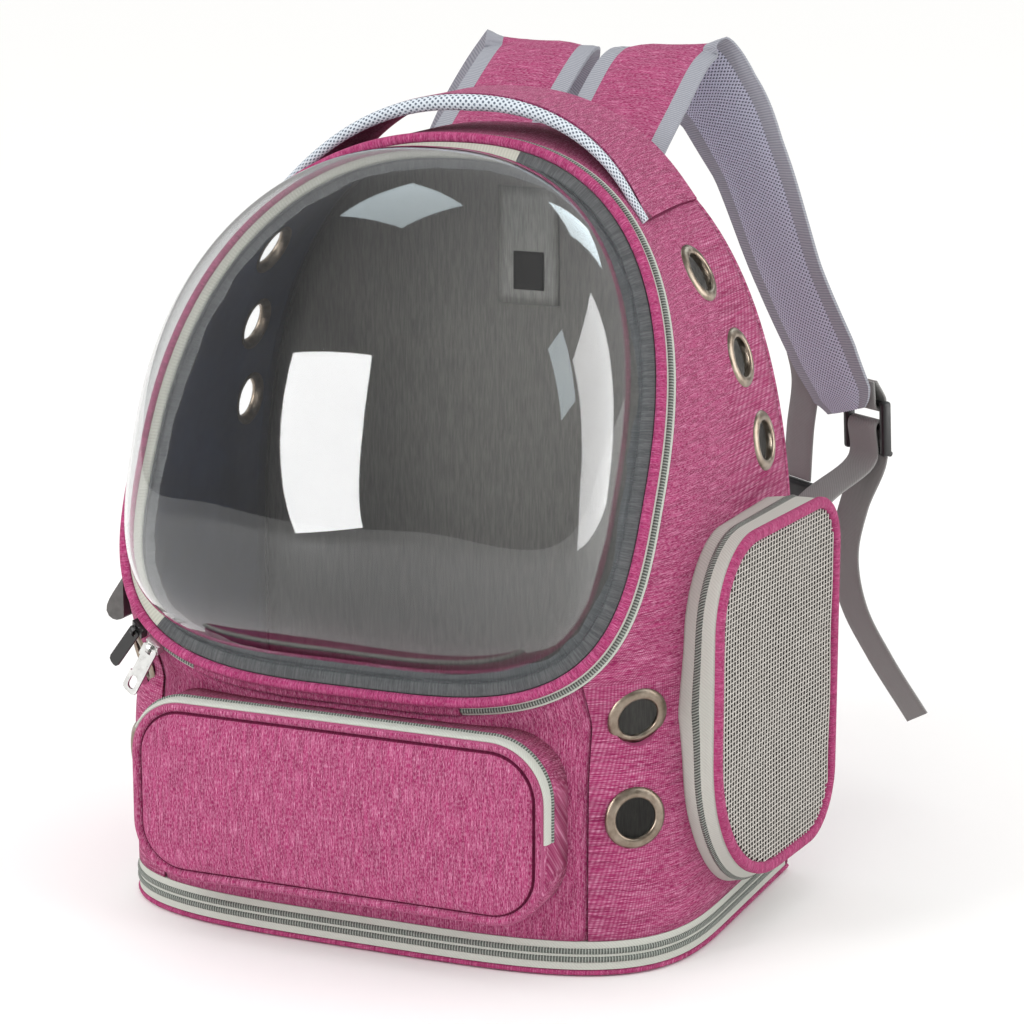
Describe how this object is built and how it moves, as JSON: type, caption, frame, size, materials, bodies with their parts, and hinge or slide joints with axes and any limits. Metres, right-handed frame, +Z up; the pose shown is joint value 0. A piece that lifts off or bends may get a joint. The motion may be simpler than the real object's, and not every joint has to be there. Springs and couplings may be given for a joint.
{
  "type": "bubble pet carrier backpack",
  "caption": "Soft backpack for carrying a small animal, with a leaning zipped door, a clear bubble window, pockets, vent eyelets, a top handle and padded shoulder straps.",
  "frame": {"origin": "middle of the underside of the base", "axes": "+Z up, -Y the front with the bubble window, +X to the right as seen from the front, +Y towards the shoulder straps"},
  "size_m": [0.3986, 0.4353, 0.4403],
  "materials": {
    "heather": "heathered pink cloth",
    "heather_trim": "pink cloth, base and piping",
    "grey_tape": "woven grey zipper tape",
    "felt": "grey felt",
    "cream_tape": "woven cream tape",
    "lining": "smooth dark lining",
    "clear": "clear formed plastic",
    "nickel": "dull nickel eyelets",
    "silver": "silver zip pull",
    "black_metal": "black zip pull",
    "black_plastic": "black moulded plastic",
    "handle_mesh": "spacer mesh",
    "webbing": "ribbed webbing",
    "net": "coarse net",
    "loop": "dark soft loop"
  },
  "bodies": {
    "carrier": {"gusset": "heather", "base_panel": "heather_trim", "base_zipper": "grey_tape", "front_panel": "heather", "back_panel": "heather", "back_lining": "lining", "door_zipper": "grey_tape", "door_hinge": "heather", "door_piping": "heather_trim", "door_binding": "felt", "dome": "clear", "door_inner_tape": "cream_tape", "front_pocket": "heather", "front_pocket_zipper": "grey_tape", "net_pocket_wall": "grey_tape", "net_pocket_binding": "heather_trim", "net_panel": "net", "handle_band": "heather", "handle_roll": "handle_mesh", "side_loop": "loop", "slider_silver": "silver", "slider_black": "black_metal", "eyelet_right_upper_1": "nickel", "eyelet_right_upper_2": "nickel", "eyelet_right_upper_3": "nickel", "eyelet_right_lower_1": "nickel", "eyelet_right_lower_2": "nickel", "eyelet_left_upper_1": "nickel", "eyelet_left_upper_2": "nickel", "eyelet_left_upper_3": "nickel", "eyelet_left_lower_1": "nickel", "eyelet_left_lower_2": "nickel", "strap_right": "heather", "ladder_lock_right": "black_plastic", "strap_loop_right": "webbing", "adjuster_webbing_right": "webbing", "chest_webbing_right": "webbing", "chest_buckle_right": "black_plastic", "strap_left": "heather", "ladder_lock_left": "black_plastic", "strap_loop_left": "webbing", "adjuster_webbing_left": "webbing", "chest_webbing_left": "webbing", "chest_buckle_left": "black_plastic"},
    "silver_tab": {"pull_tab_silver": "silver"},
    "black_tab": {"pull_tab_black": "black_metal"}
  },
  "joints": [
    {"name": "silver_tab_swing", "type": "hinge", "parent": "carrier", "child": "silver_tab", "pos_m": [-0.11558, -0.10676, 0.14778], "axis": [0.836, -0.153, -0.5271], "range_deg": [-115, 30]},
    {"name": "black_tab_swing", "type": "hinge", "parent": "carrier", "child": "black_tab", "pos_m": [-0.12579, -0.10431, 0.15547], "axis": [0.7214, -0.2195, -0.6568], "range_deg": [-115, 25]}
  ]
}
